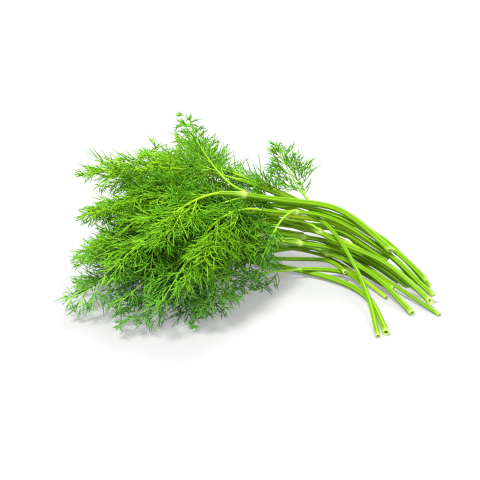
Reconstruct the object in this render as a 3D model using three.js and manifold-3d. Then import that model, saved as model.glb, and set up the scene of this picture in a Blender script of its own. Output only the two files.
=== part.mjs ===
// A cut bunch of dill lying on a flat surface: hollow round shoots that fan out from a narrow waist, each ending in a
// feathery frond, and many with a second frond on a stalk of its own. Millimetres and degrees, +Z up, +X towards the
// cut ends, +Y towards the back of the bunch. The origin is the middle of the bunch's box, on the surface.
//
// Every shoot is laid on the ones before it, so the bunch piles up without two pieces touching. The side branches of
// the fronds are then grown into the room that is left between the shoots.
import * as THREE from "three";
import { mergeVertices } from "three/addons/utils/BufferGeometryUtils.js";
import Module from "manifold-3d";

const wasm = await Module();
wasm.setup();

// ---- The bunch -----------------------------------------------------------------------------------------------------
const SIDE_FRONDS = 16; // shoots that carry a second frond, counted from the top of the pile
const CLEARANCE = 0.7; // between the round axes of two pieces that lie on each other
const JOINT_GAP = 0.35; // between a shoot's end and the frond that goes on from it

// ---- The stalks' side: from the waist to the cut ends ---------------------------------------------------------------
const WAIST = { x: 62, y: 29 }; // middle of the waist, in the frame that the shoots are laid in
const WAIST_WIDTH = 30; // across the bundle there
const WAIST_BACK_SHIFT = 12; // how much further back the highest shoot passes than the lowest one
const WAIST_FLOOR = 4; // height of the lowest shoot's axis at the waist
const WAIST_RISE = 42; // and how much higher the highest one's is
const CUT_REACH = 117; // from the waist to the furthest cut end
const STALK_ARCH = 0.84; // share of its turn that a stalk has made halfway to its cut end
const SHOOT_RADIUS = 2.8; // of the thickest shoot at its cut end

// The shoots from the lowest to the highest: heading of the stalk from the waist, from +X and negative towards the
// front, its share of the furthest reach, and its share of the thickest radius. A shoot passes the waist at a place
// that follows its heading, but for the one that crosses the others and starts from `across`. `leafy` is the share of
// the usual reach that its tip has on the other side of the waist, and `pinna` the length of its top frond's longest
// pinna, where that isn't the usual one.
const STALKS = [
  { turn: -69, reach: 0.97, girth: 0.92 },
  { turn: -56, reach: 0.44, girth: 0.78, leafy: 0.86, pinna: 0.27 },
  { turn: -58, reach: 0.24, girth: 0.64 },
  { turn: -48, reach: 0.6, girth: 0.55 },
  { turn: -37, reach: 0.52, girth: 0.74, leafy: 0.95 },
  { turn: -41, reach: 0.6, girth: 0.78 },
  { turn: -50, reach: 0.86, girth: 0.82 },
  { turn: -20, reach: 0.14, girth: 0.62, leafy: 1.08 },
  { turn: -42, reach: 1, girth: 0.58 },
  { turn: -30, reach: 0.58, girth: 0.78, leafy: 0.91 },
  { turn: -34, reach: 0.68, girth: 0.74, leafy: 0.94 },
  { turn: -36, reach: 0.76, girth: 0.7 },
  { turn: -14, reach: 0.17, girth: 0.8 },
  { turn: -28, reach: 0.48, girth: 0.78 },
  { turn: -40, reach: 0.9, girth: 0.82 },
  { turn: -29, reach: 0.69, girth: 0.78, leafy: 0.94 },
  { turn: -73, reach: 0.98, girth: 0.66, across: 0.1 },
  { turn: -35, reach: 0.88, girth: 0.74 },
  { turn: -31, reach: 0.79, girth: 0.78 },
  { turn: -20, reach: 0.7, girth: 0.82 },
  { turn: -33, reach: 0.52, girth: 1 },
  { turn: -25, reach: 0.8, girth: 0.76 },
];
const SHOOTS = STALKS.length;
const STALK_TURN_MIDDLE = -42; // heading of the shoots that pass through the middle of the waist
const STALK_TURN_SPREAD = 44; // headings between its front and its back
const WAIST_SHIFTS = [0, 0.1, -0.1, 0.2, -0.2, 0.32, -0.32, 0.45, -0.45]; // shares of its width that a shoot tries
const SHOOT_TAPER = 0.55; // a shoot's radius at its top frond, as a share of the one at the cut
const HOLLOW_SHARE = 0.5; // radius of the pith hollow, as a share of the shoot's
const HOLLOW_DEPTH = 7; // how far the hollow is open at the cut

// ---- The leafy side: from the waist to the frond tips -----------------------------------------------------------------
const LEAF_TURN = { back: -38, front: 52 }; // heading of the tips from the waist, from -X
const LEAF_TURN_LOWEST = 44; // the front one for the lowest shoot, from which it widens up to the middle of the heap
const LEAF_TURN_LONGEST = 21; // heading at which the shoots reach furthest
const LEAF_REACH = 230; // waist to tip at that heading
const LEAF_REACH_LOSS = { back: 0.19, front: 0.36 }; // share of the reach that is lost at the edges of the fan
const LEAF_RAGGED = 0.12; // share of the reach by which the tips are uneven
const HEAP_FLOOR = 7; // height of the lowest shoot's axis in the middle of the leafy heap
const HEAP_RISE = 82; // and how much higher the highest one's is
const TIP_FLOOR = 5; // the same two at the tips
const TIP_RISE = 72;
const TIP_FRONT_DROP = 0.7; // share of that rise that the tips at the front edge lose

// ---- Fronds -----------------------------------------------------------------------------------------------------------
const TOP_FROND = { length: 142, bare: 0.08, pairs: 5, radius: 1.05, pinna: 0.36 };
const SIDE_FROND = { length: 128, bare: 0.26, pairs: 4, radius: 0.95, pinna: 0.35 };
const FROND_UNEVEN = 0.14; // share by which a frond's length varies
const RACHIS_TIP = 0.4; // the rachis's radius before its point
const SIDE_FROND_FROM = 0.62; // place on the shoot where the lowest side frond leaves it
const SIDE_FROND_TO = 0.9; // and the highest one
const SIDE_FROND_TURN = 36; // most that a side frond's tip heads away from its shoot
const SIDE_FROND_RISE = { least: -26, most: 8 }; // its tip above its seat
const SIDE_FROND_SEAT = 50; // how far round the shoot, from its top, the stalk sits
const PINNA_ANGLE = 46; // between rachis and pinna
const PINNA_RADIUS = 0.72;
const PINNA_PITCH = 24; // most that a pinna leaves the frond's plane
const FROND_ROLL = 28; // most that a frond's plane leans sideways
const PINNA_GAP = 0.45; // between a pinna and any other piece
const PINNA_FLOOR = 0.3; // lowest that a pinna's underside may reach
const PINNA_SIZES = [1, 0.75, 0.5]; // shares of its length that a pinna tries until one is free
const PINNA_SWINGS = [0, 14, -14, 28, -28, 42, -42, 60]; // and the turns about the rachis that it tries

// Second fronds that stand up out of the heap or hang in front of it: the shoot that carries each, where it leaves the
// shoot, the heading of its tip from -X, how far away that is, how far above, and how long its longest pinna is.
const FREE_FRONDS = [
  { shoot: 20, from: 0.86, turn: -48, run: 78, rise: 45, pinna: 0.25 },
  { shoot: 21, from: 0.62, turn: -42, run: 49, rise: 46, pinna: 0.34 },
  { shoot: 17, from: 0.82, turn: 55, run: 62, rise: -45, pinna: 0.22 },
];

// ---- How finely the round pieces are cut ----------------------------------------------------------------------------
const SAMPLE = 4; // spacing of the points at which one shoot is laid on another
const LIFT_SAMPLES = 40; // points at which the height of a whole shoot is looked at
const LAY_ROUNDS = 20; // times at most that a shoot is raised until it clears what it lies on
const LIFT_SPREAD = 46; // how far a shoot's stiffness spreads a bump from what it lies on
const SHOOT_CUT = { sides: 6, steps: 14 };
const RACHIS_CUT = { sides: 4, steps: 7 };
const PINNA_CUT = { sides: 3, steps: 1 };

const radians = THREE.MathUtils.degToRad;
const mix = THREE.MathUtils.lerp;
const UP = new THREE.Vector3(0, 0, 1);

/** Fractions between 0 and 1 that are the same at every run. */
function seededFractions(seed) {
  let state = seed >>> 0;
  return () => {
    state = (state + 0x6d2b79f5) >>> 0;
    let t = Math.imul(state ^ (state >>> 15), 1 | state);
    t = (t + Math.imul(t ^ (t >>> 7), 61 | t)) ^ t;
    return ((t ^ (t >>> 14)) >>> 0) / 4294967296;
  };
}

/** The i-th of a row of fractions that fills 0 to 1 evenly and in no visible order. */
const spread = (i, step, start) => (start + i * step) % 1;
const GOLDEN_STEP = 0.6180339887;
const PLASTIC_STEP = 0.7548776662;

// ---- Round bars -------------------------------------------------------------------------------------------------------

/** A closed round bar along a curve. radiusAt gives its radius from 0 at the base to 1 at the tip. */
function bar(curve, radiusAt, { sides, steps }, pointed) {
  const unit = new THREE.CylinderGeometry(pointed ? 0 : 1, 1, 1, sides, steps);
  unit.deleteAttribute("normal");
  unit.deleteAttribute("uv");
  const shape = mergeVertices(unit, 1e-4);
  const frames = curve.computeFrenetFrames(steps, false);
  const position = shape.getAttribute("position");
  for (let v = 0; v < position.count; v++) {
    const t = position.getY(v) + 0.5;
    const ring = Math.round(t * steps);
    const off = new THREE.Vector3()
      .addScaledVector(frames.normals[ring], position.getX(v))
      .addScaledVector(frames.binormals[ring], -position.getZ(v));
    const out = off.lengthSq() > 1e-8 ? off.normalize().multiplyScalar(radiusAt(t)) : off;
    const place = curve.getPointAt(t).add(out);
    position.setXYZ(v, place.x, place.y, place.z);
  }
  return shape;
}

/** A merged geometry as a manifold-3d solid. */
function solidOf(geometry) {
  return new wasm.Manifold(
    new wasm.Mesh({
      numProp: 3,
      vertProperties: geometry.getAttribute("position").array,
      triVerts: new Uint32Array(geometry.index.array),
    }),
  );
}

/** A manifold-3d solid as a geometry. */
function geometryOf(solid) {
  const mesh = solid.getMesh();
  return new THREE.BufferGeometry()
    .setAttribute("position", new THREE.BufferAttribute(mesh.vertProperties, 3))
    .setIndex(new THREE.BufferAttribute(mesh.triVerts, 1));
}

/** The stretch of a curve from one share of its length to another. */
function stretch(curve, from, to) {
  const count = Math.max(4, Math.round(((to - from) * curve.getLength()) / SAMPLE));
  const points = Array.from({ length: count + 1 }, (_, k) =>
    curve.getPointAt(mix(from, to, k / count)),
  );
  return new THREE.CatmullRomCurve3(points, false, "centripetal");
}

// ---- Laying one piece on another ----------------------------------------------------------------------------------------

const laid = []; // short straight lengths of everything placed: { a, b, radius, owner }

/** Height at which an axis of this radius at this place clears everything laid so far. */
function restingHeight(place, radius) {
  let height = radius;
  for (const { a, b, radius: other } of laid) {
    const reach = radius + other + CLEARANCE;
    const along = new THREE.Vector2(b.x - a.x, b.y - a.y);
    const from = new THREE.Vector2(place.x - a.x, place.y - a.y);
    const share = THREE.MathUtils.clamp(from.dot(along) / (along.lengthSq() || 1), 0, 1);
    const gap = from.addScaledVector(along, -share).length();
    if (gap < reach) {
      height = Math.max(height, mix(a.z, b.z, share) + Math.sqrt(reach * reach - gap * gap));
    }
  }
  return height;
}

/** How much too low each of a row of points on an axis is to clear everything laid so far. */
function shortfalls(points, radiusAt) {
  const last = points.length - 1;
  return points.map((p, k) => Math.max(0, restingHeight(p, radiusAt(k / last)) - p.z));
}

/** Raises a row of points by what each falls short, spread over its neighbours in a smooth bump. */
function raise(points, short, step) {
  points.forEach((p, k) => {
    const lifts = short.map((s, j) => {
      const away = Math.min(1, (Math.abs(j - k) * step) / LIFT_SPREAD);
      return s * Math.cos((away * Math.PI) / 2) ** 2;
    });
    p.z += Math.max(...lifts);
  });
}

/** Shares of a length, from one to another, at which the rings of a bar sit. */
const ringsOf = (from, to, steps) =>
  Array.from({ length: steps + 1 }, (_, k) => mix(from, to, k / steps));

/** Lays a curve on everything placed so far: it is raised in smooth bumps where its bars would meet something. */
function lay(curve, rings, radiusAt, owner) {
  const count = Math.ceil(curve.getLength() / SAMPLE);
  const points = curve.getSpacedPoints(count);
  const step = curve.getLength() / count;
  raise(points, shortfalls(points, radiusAt), step);
  for (let round = 0; ; round++) {
    const axis = new THREE.CatmullRomCurve3(points, false, "centripetal");
    const bars = rings.slice(1).map((end, k) => ({
      a: axis.getPointAt(rings[k]),
      b: axis.getPointAt(end),
      radius: radiusAt(rings[k]),
      owner,
    }));
    const short = bars.map((p) => Math.max(0, ...laid.map((q) => tooClose(p, q, CLEARANCE))));
    if (Math.max(...short) === 0 || round === LAY_ROUNDS) {
      laid.push(...bars);
      return axis;
    }
    const barAt = (t) => Math.max(0, rings.findIndex((end) => end > t) - 1);
    raise(points, points.map((_, k) => short[barAt(k / (count + 1))]), step);
  }
}

/** How much closer than this gap two straight lengths of round bar are. */
function tooClose(p, q, gap) {
  const reach = p.radius + q.radius + gap;
  const far = reach + p.a.distanceTo(p.b) + q.a.distanceTo(q.b);
  return p.a.distanceTo(q.a) > far ? 0 : Math.max(0, reach - lengthsApart(p, q));
}

/** Shortest distance between two straight lengths. */
function lengthsApart(p, q) {
  const u = new THREE.Vector3().subVectors(p.b, p.a);
  const v = new THREE.Vector3().subVectors(q.b, q.a);
  const w = new THREE.Vector3().subVectors(p.a, q.a);
  const uu = u.dot(u), uv = u.dot(v), vv = v.dot(v), uw = u.dot(w), vw = v.dot(w);
  const parallel = uu * vv - uv * uv;
  let s = parallel > 1e-9 ? THREE.MathUtils.clamp((uv * vw - vv * uw) / parallel, 0, 1) : 0;
  const t = THREE.MathUtils.clamp((uv * s + vw) / vv, 0, 1);
  s = THREE.MathUtils.clamp((uv * t - uw) / uu, 0, 1);
  return w.addScaledVector(u, s).addScaledVector(v, -t).length();
}

/** Whether these straight lengths keep the pinna gap to every other owner's and stay above the surface. */
function isFree(lengths) {
  return lengths.every((p) => {
    if (Math.min(p.a.z, p.b.z) < p.radius + PINNA_FLOOR) return false;
    return laid.every((q) => q.owner === p.owner || tooClose(p, q, PINNA_GAP) === 0);
  });
}

// ---- Shoots -----------------------------------------------------------------------------------------------------------

/** A point at this distance and heading from the waist. Headings turn from +X towards the back. */
function fromWaist(reach, heading, height) {
  return new THREE.Vector3(
    WAIST.x + reach * Math.cos(radians(heading)),
    WAIST.y + reach * Math.sin(radians(heading)),
    height,
  );
}

/** The i-th shoot before it is laid: its line from the cut end to the tip, and its radius at the cut. */
function shootPlan(i) {
  const chance = seededFractions(1000 + 37 * i);
  const layer = i / (SHOOTS - 1);
  const stalk = STALKS[i];
  const radius = SHOOT_RADIUS * stalk.girth;

  const leafShare = spread(i, GOLDEN_STEP, 0.35);
  const front = mix(LEAF_TURN_LOWEST, LEAF_TURN.front, Math.min(1, 2.5 * layer));
  const leafTurn = mix(LEAF_TURN.back, front, leafShare);
  const edge = leafTurn < LEAF_TURN_LONGEST ? "back" : "front";
  const toEdge = (leafTurn - LEAF_TURN_LONGEST) / (LEAF_TURN[edge] - LEAF_TURN_LONGEST);
  const ragged = (stalk.leafy ?? 1) * (1 - LEAF_RAGGED * chance());
  const reach = LEAF_REACH * (1 - LEAF_REACH_LOSS[edge] * toEdge ** 2) * ragged;

  const inTurn = THREE.MathUtils.clamp((stalk.turn - STALK_TURN_MIDDLE) / STALK_TURN_SPREAD, -0.5, 0.5);
  const waist = new THREE.Vector3(
    WAIST.x,
    WAIST.y + (stalk.across ?? inTurn) * WAIST_WIDTH + (layer - 0.5) * WAIST_BACK_SHIFT,
    WAIST_FLOOR + WAIST_RISE * layer,
  );
  const cut = fromWaist(CUT_REACH * stalk.reach, stalk.turn, 0);
  cut.z = mix(waist.z, radius, THREE.MathUtils.smoothstep(stalk.reach, 0, 0.75));
  const halfway = fromWaist(CUT_REACH * stalk.reach * 0.5, stalk.turn * STALK_ARCH, 0);
  halfway.z = mix(waist.z, cut.z, 0.62);
  const heap = fromWaist(reach * 0.5, 180 + leafTurn * 0.62, HEAP_FLOOR + HEAP_RISE * layer);
  const drop = 1 - TIP_FRONT_DROP * THREE.MathUtils.smoothstep(leafShare, 0.3, 1);
  const tip = fromWaist(reach, 180 + leafTurn, TIP_FLOOR + TIP_RISE * layer * drop);
  const through = (shift) => {
    const shifted = waist.clone().setY(waist.y + shift * WAIST_WIDTH);
    return new THREE.CatmullRomCurve3([cut, halfway, shifted, heap, tip], false, "centripetal");
  };
  return { line: lowestLine(WAIST_SHIFTS.map(through), radius), radius, chance };
}

/** Of several lines for a shoot of this radius, the one that lies lowest on everything laid so far. */
function lowestLine(lines, radius) {
  const lifts = lines.map((line) =>
    Math.max(...shortfalls(line.getSpacedPoints(LIFT_SAMPLES), () => radius)),
  );
  return lines[lifts.indexOf(Math.min(...lifts))];
}

/** The shoot as a solid: a tapering round bar whose pith hollow is open at the cut end. */
function shootSolid(curve, radiusAt) {
  const body = solidOf(bar(curve, radiusAt, SHOOT_CUT, false));
  const length = curve.getLength();
  const start = curve.getPointAt(0).addScaledVector(curve.getTangentAt(0), -1);
  const end = curve.getPointAt(HOLLOW_DEPTH / length);
  const hollow = bar(
    new THREE.LineCurve3(start, end),
    () => radiusAt(0) * HOLLOW_SHARE,
    { sides: SHOOT_CUT.sides, steps: 1 },
    false,
  );
  return body.subtract(solidOf(hollow));
}

// ---- Fronds -------------------------------------------------------------------------------------------------------------

/** How long the pinna at this place is, as a share of the longest: the frond is widest below its middle. */
const pinnaProfile = (t) => Math.min(1, 0.72 + 1.1 * t) * (1 - t) ** 0.72 * 1.25;

/** Grows a frond's pinnae from its rachis into free room, and joins them to it in one solid. */
function frondSolid(curve, kind, radiusAt, owner, chance) {
  const steps = RACHIS_CUT.steps;
  const roll = radians((chance() * 2 - 1) * FROND_ROLL);
  let solid = solidOf(bar(curve, radiusAt, RACHIS_CUT, true));
  for (let k = 0; k < kind.pairs; k++) {
    const along = (k + 0.5) / kind.pairs;
    const t = mix(kind.bare, 1, along);
    const step = Math.min(steps - 1, Math.floor(t * steps));
    const from = curve.getPointAt(step / steps);
    const to = curve.getPointAt((step + 1) / steps);
    const ahead = new THREE.Vector3().subVectors(to, from).normalize();
    const seat = from.lerp(to, t * steps - step);
    const sideways = new THREE.Vector3().crossVectors(UP, ahead).normalize();
    sideways.applyAxisAngle(ahead, roll);
    const full = curve.getLength() * kind.pinna * pinnaProfile(along);
    for (const side of [1, -1]) {
      const pitch = (chance() * 2 - 1) * PINNA_PITCH;
      const wanted = full * mix(0.85, 1.1, chance());
      const pinna = freePinna({ seat, ahead, sideways, side, pitch, wanted, owner });
      if (pinna) solid = solid.add(pinna);
    }
  }
  return solid;
}

/** The first of several pinnae, each swung or shortened a little more, that keeps clear of all other pieces. */
function freePinna({ seat, ahead, sideways, side, pitch, wanted, owner }) {
  const lean = radians(PINNA_ANGLE);
  for (const size of PINNA_SIZES) {
    for (const swing of PINNA_SWINGS) {
      const heading = sideways
        .clone()
        .multiplyScalar(side * Math.sin(lean))
        .addScaledVector(ahead, Math.cos(lean))
        .applyAxisAngle(ahead, radians((pitch + swing) * -side));
      const tip = seat.clone().addScaledVector(heading, wanted * size);
      const whole = { a: seat, b: tip, radius: PINNA_RADIUS, owner };
      if (!isFree([whole])) continue;
      laid.push(whole);
      const thickness = (t) => PINNA_RADIUS * (1 - t);
      return solidOf(bar(new THREE.LineCurve3(seat, tip), thickness, PINNA_CUT, true));
    }
  }
  return null;
}

/** A frond's stalk: from its seat beside the shoot, first along the shoot and then to its tip. */
function stalkLine(shoot, from, radius, { turn, run, rise }) {
  const ahead = shoot.getTangentAt(from);
  const side = new THREE.Vector3().crossVectors(UP, ahead).normalize();
  const above = new THREE.Vector3().crossVectors(ahead, side);
  const seat = above
    .applyAxisAngle(ahead, radians(-SIDE_FROND_SEAT * Math.sign(turn)))
    .multiplyScalar(radius + SIDE_FROND.radius + CLEARANCE)
    .add(shoot.getPointAt(from));
  const bend = seat.clone().addScaledVector(ahead, run * 0.3);
  const away = new THREE.Vector3(ahead.x, ahead.y, 0).normalize();
  away.applyAxisAngle(UP, radians(turn)).multiplyScalar(run);
  const tip = seat.clone().add(away);
  tip.z = Math.max(TIP_FLOOR, seat.z + rise);
  return new THREE.QuadraticBezierCurve3(seat, bend, tip);
}

// ---- The bunch, laid and grown -----------------------------------------------------------------------------------------

const bunch = new THREE.Group();

/** Adds a solid to the bunch as a named piece. */
function addPiece(name, solid, material) {
  const mesh = new THREE.Mesh(geometryOf(solid), material);
  mesh.name = name;
  bunch.add(mesh);
}

const number = (i) => String(i + 1).padStart(2, "0");
const finish = (color, roughness) =>
  new THREE.MeshStandardMaterial({ color, roughness, metalness: 0 });
const FINISHES = {
  shoot: finish(0x7fb52a, 0.45),
  paleShoot: finish(0xaccf3f, 0.42),
  topFrond: finish(0x4f9a26, 0.6),
  sideFrond: finish(0x3f8f3a, 0.6),
};

const shoots = [];
const fronds = []; // rachises that are laid and wait for their pinnae

/** Lays the stalk of a second frond beside its shoot, at a heading from -X that is at most so far off the shoot's. */
function laySideFrond(i, from, { turn, most = 180, run, rise, pinna = SIDE_FROND.pinna }, chance) {
  const { shoot, radiusAt } = shoots[i];
  const { x, y } = shoot.getTangentAt(from);
  const shootTurn = THREE.MathUtils.radToDeg(Math.atan2(-y, -x));
  const away = THREE.MathUtils.clamp(turn - shootTurn, -most, most);
  fronds.push({
    name: `side_frond_${number(i)}`,
    curve: lay(
      stalkLine(shoot, from, radiusAt(from), { turn: away, run, rise }),
      ringsOf(0, 1, RACHIS_CUT.steps),
      (t) => mix(SIDE_FROND.radius, RACHIS_TIP, t),
      `side ${i}`,
    ),
    kind: { ...SIDE_FROND, pinna },
    owner: `side ${i}`,
    chance,
    material: FINISHES.sideFrond,
  });
}

for (let i = 0; i < SHOOTS; i++) {
  const { line, radius, chance } = shootPlan(i);
  const frondLength = TOP_FROND.length * (1 - FROND_UNEVEN * chance());
  const split = 1 - frondLength / line.getLength();
  const stemRadius = (t) => mix(radius, radius * SHOOT_TAPER, t);
  const rachisRadius = (t) => mix(TOP_FROND.radius, RACHIS_TIP, t);
  const axis = lay(
    line,
    [...ringsOf(0, split, SHOOT_CUT.steps), ...ringsOf(split, 1, RACHIS_CUT.steps).slice(1)],
    (t) => (t < split ? stemRadius(t / split) : rachisRadius((t - split) / (1 - split))),
    `shoot ${i}`,
  );
  const shoot = stretch(axis, 0, split);
  shoots.push({ shoot, radiusAt: stemRadius });
  const material = i % 4 === 3 ? FINISHES.paleShoot : FINISHES.shoot;
  addPiece(`stem_${number(i)}`, shootSolid(shoot, stemRadius), material);
  fronds.push({
    name: `top_frond_${number(i)}`,
    curve: stretch(axis, split + JOINT_GAP / axis.getLength(), 1),
    kind: { ...TOP_FROND, pinna: STALKS[i].pinna ?? TOP_FROND.pinna },
    owner: `shoot ${i}`,
    chance,
    material: FINISHES.topFrond,
  });

  const standsFree = FREE_FRONDS.some((frond) => frond.shoot === i);
  if (i < SHOOTS - SIDE_FRONDS || standsFree) continue;
  const from = mix(SIDE_FROND_FROM, SIDE_FROND_TO, chance());
  const turn = mix(LEAF_TURN.back, LEAF_TURN.front, spread(i, GOLDEN_STEP, 0.85));
  const run = SIDE_FROND.length * (1 - FROND_UNEVEN * chance());
  const rise = mix(SIDE_FROND_RISE.least, SIDE_FROND_RISE.most, chance());
  laySideFrond(i, from, { turn, most: SIDE_FROND_TURN, run, rise }, chance);
}

for (const { shoot, from, ...aim } of FREE_FRONDS) {
  laySideFrond(shoot, from, aim, seededFractions(shoot));
}

for (const { name, curve, kind, owner, chance, material } of fronds) {
  const radiusAt = (t) => mix(kind.radius, RACHIS_TIP, t);
  addPiece(name, frondSolid(curve, kind, radiusAt, owner, chance), material);
}

// The origin goes to the middle of the bunch's box, on the surface that it lies on.
const box = new THREE.Box3().setFromObject(bunch);
const middle = box.getCenter(new THREE.Vector3());
bunch.position.set(-middle.x, -middle.y, -box.min.z);

export default bunch;
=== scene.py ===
"""A cut bunch of dill lying on a pale studio floor.

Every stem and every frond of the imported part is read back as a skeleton: a line with a thickness, and for
a frond the side branches that leave it. The ribbed hollow stems and the feathery leaves are then grown on
those skeletons, one piece for each node, so that they stay where the solids are.
"""

import logging
import math
from dataclasses import dataclass, field
from enum import Enum

import bpy
import numpy as np
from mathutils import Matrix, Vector


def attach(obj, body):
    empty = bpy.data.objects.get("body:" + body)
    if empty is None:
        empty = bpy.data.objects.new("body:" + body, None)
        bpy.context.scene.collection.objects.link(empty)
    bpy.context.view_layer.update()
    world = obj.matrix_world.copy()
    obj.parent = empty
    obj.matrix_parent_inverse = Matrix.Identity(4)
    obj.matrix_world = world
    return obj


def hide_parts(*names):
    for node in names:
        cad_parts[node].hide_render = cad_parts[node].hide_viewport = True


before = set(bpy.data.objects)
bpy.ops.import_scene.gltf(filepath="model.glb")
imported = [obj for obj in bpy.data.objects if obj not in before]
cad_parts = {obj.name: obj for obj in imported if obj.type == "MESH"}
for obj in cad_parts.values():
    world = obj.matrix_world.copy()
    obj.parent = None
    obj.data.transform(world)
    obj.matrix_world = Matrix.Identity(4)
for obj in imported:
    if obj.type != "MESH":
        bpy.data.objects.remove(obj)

LOG = logging.getLogger("dill")
MM = 0.001
FULL_TURN = 2.0 * math.pi
UP = np.array([0.0, 0.0, 1.0])
TINY = 1e-12  # shortest length that a direction is taken from
# fronds narrower than their solid gives: the one that hangs in front of the stems, and the front one below
NARROW_FRONDS = {"side_frond_18": 0.65, "top_frond_02": 0.6}
FLOOR_GAP = 0.25 * MM  # lowest height of any leaf thread over the surface
STEM_GAP = 0.1 * MM  # lowest height of a stem's skin over the surface
LIME_EVERY = 4  # every fourth stem is a paler one
FROND_TONES = (0.52, 0.88)  # deepest and palest tone that a frond starts from
BAKE_MAP = "OFBake"

# How a solid is read back as a skeleton
FINE_STEPS = 400  # samples of a curve before its even spacing is found
RING_REACHES = np.arange(4.5, 1.9, -0.3) * MM  # longest edge within a stem's ring, tried in turn
FEWEST_RINGS = 16
HOLLOW_RING = 0.8  # a ring thinner than this share of its neighbours belongs to the pith hollow
NEEDLE = 0.965  # sharpness over which a vertex is a tip
FOOT_REACH = 2.6 * MM  # how far a frond's first ring reaches from one of its vertices
END_WEIGHT = 12.0  # how strongly the fitted rachis holds to its two ends
RACHIS_KNOTS = 30

# How a twig's mesh and its map are laid out
LAST_RING = 0.86  # where the last ring stands, as a share of the twig
NEARLY_UPRIGHT = 0.9  # the rise of a direction over which level is measured from X
LANE = 0.008  # width of one side of a twig in the map
LOWEST_TONE = 0.02
TONE_SPAN = 0.93

Color = tuple[float, float, float]
Stops = tuple[tuple[float, Color], ...]


class Slot(Enum):
    """The material slots of the part."""

    STEM = "stem"
    STEM_PALE = "stem_pale"
    FROND_TOP = "frond_top"
    FROND_SIDE = "frond_side"


# ---- Small array helpers -----------------------------------------------------------------------------------


def unit(vectors: np.ndarray) -> np.ndarray:
    """Vectors scaled to length one, along the last axis."""
    return vectors / np.maximum(np.linalg.norm(vectors, axis=-1, keepdims=True), TINY)


def smoothstep(x: np.ndarray, low: float, high: float) -> np.ndarray:
    """Rises from 0 at low to 1 at high as 3t^2 - 2t^3."""
    t = np.clip((x - low) / (high - low), 0.0, 1.0)
    return t * t * (3.0 - 2.0 * t)


def runs(counts: np.ndarray) -> tuple[np.ndarray, np.ndarray]:
    """Lists the children of rows that each have some.

    Args:
        counts: how many children each row has.

    Returns:
        Every child's row, and its place among that row's children.
    """
    owner = np.repeat(np.arange(len(counts)), counts)
    first = np.cumsum(counts) - counts
    return owner, np.arange(len(owner)) - first[owner]


def loft_quads(rows: int, columns: int) -> np.ndarray:
    """Four-sided faces between neighbouring rings of a tube.

    Args:
        rows: how many rings.
        columns: vertices round a ring, which closes on itself.

    Returns:
        The faces' vertices, (n, 4), where vertex j of ring i is number i * columns + j.
    """
    i, j = np.meshgrid(np.arange(rows - 1), np.arange(columns), indexing="ij")
    wrap = (j + 1) % columns
    low, high = i * columns, (i + 1) * columns
    return np.stack([low + j, low + wrap, high + wrap, high + j], -1).reshape(-1, 4)


def link_object(name: str, data: bpy.types.ID) -> bpy.types.Object:
    """Puts a mesh, a light or a camera in the scene.

    Args:
        name: the object's name.
        data: its mesh, light or camera.

    Returns:
        The object.
    """
    made = bpy.data.objects.new(name, data)
    bpy.context.scene.collection.objects.link(made)
    return made


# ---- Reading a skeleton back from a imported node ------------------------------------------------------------


@dataclass(frozen=True)
class Welded:
    """A node's vertices, merged where they touch, and the edges between them."""

    points: np.ndarray
    edges: np.ndarray

    @staticmethod
    def read(name: str) -> "Welded":
        """Reads a node's mesh and leaves it as it is.

        Args:
            name: the node.

        Returns:
            Its merged vertices and its edges.
        """
        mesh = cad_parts[name].data
        flat = np.empty(len(mesh.vertices) * 3, np.float32)
        mesh.vertices.foreach_get("co", flat)
        mesh.calc_loop_triangles()
        corners = np.empty(len(mesh.loop_triangles) * 3, np.int32)
        mesh.loop_triangles.foreach_get("vertices", corners)
        rounded = np.round(flat.reshape(-1, 3).astype(float), 6)
        points, place = np.unique(rounded, axis=0, return_inverse=True)
        faces = place.reshape(-1)[corners].reshape(-1, 3)
        pairs = np.sort(np.vstack([faces[:, [0, 1]], faces[:, [1, 2]], faces[:, [2, 0]]]), axis=1)
        edges = np.unique(pairs[pairs[:, 0] != pairs[:, 1]], axis=0)
        return Welded(points, edges)

    def clusters(self, reach: float) -> np.ndarray:
        """Groups the vertices that short edges join, by passing the lowest number along them.

        Args:
            reach: length of the longest edge that joins two vertices, in metres.

        Returns:
            A label per vertex, from 0, the same all over a group.
        """
        long = np.linalg.norm(self.points[self.edges[:, 0]] - self.points[self.edges[:, 1]], axis=1)
        near = self.edges[long <= reach]
        label = np.arange(len(self.points))
        while True:
            low = np.minimum(label[near[:, 0]], label[near[:, 1]])
            before = label.copy()
            np.minimum.at(label, near[:, 0], low)
            np.minimum.at(label, near[:, 1], low)
            if np.array_equal(before, label):
                return np.unique(label, return_inverse=True)[1]

    def sharpness(self) -> tuple[np.ndarray, np.ndarray]:
        """How nearly all edges of each vertex point one way, and that way.

        Returns:
            The length of the mean of the edges' unit directions, near 1 at a needle's tip, and that mean.
        """
        ends = np.vstack([self.edges, self.edges[:, ::-1]])
        ways = unit(self.points[ends[:, 1]] - self.points[ends[:, 0]])
        total = np.zeros_like(self.points)
        np.add.at(total, ends[:, 0], ways)
        mean = total / np.maximum(np.bincount(ends[:, 0], minlength=len(total)), 1)[:, None]
        return np.linalg.norm(mean, axis=1), mean


def frames_along(points: np.ndarray) -> tuple[np.ndarray, np.ndarray, np.ndarray]:
    """Three directions at right angles at every point of a line, the second of them level.

    Args:
        points: the line's points in order.

    Returns:
        The directions along the line, to its left and away from both.
    """
    along = unit(np.gradient(points, axis=0))
    left = unit(np.cross(UP, along))
    return along, left, np.cross(along, left)


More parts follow.
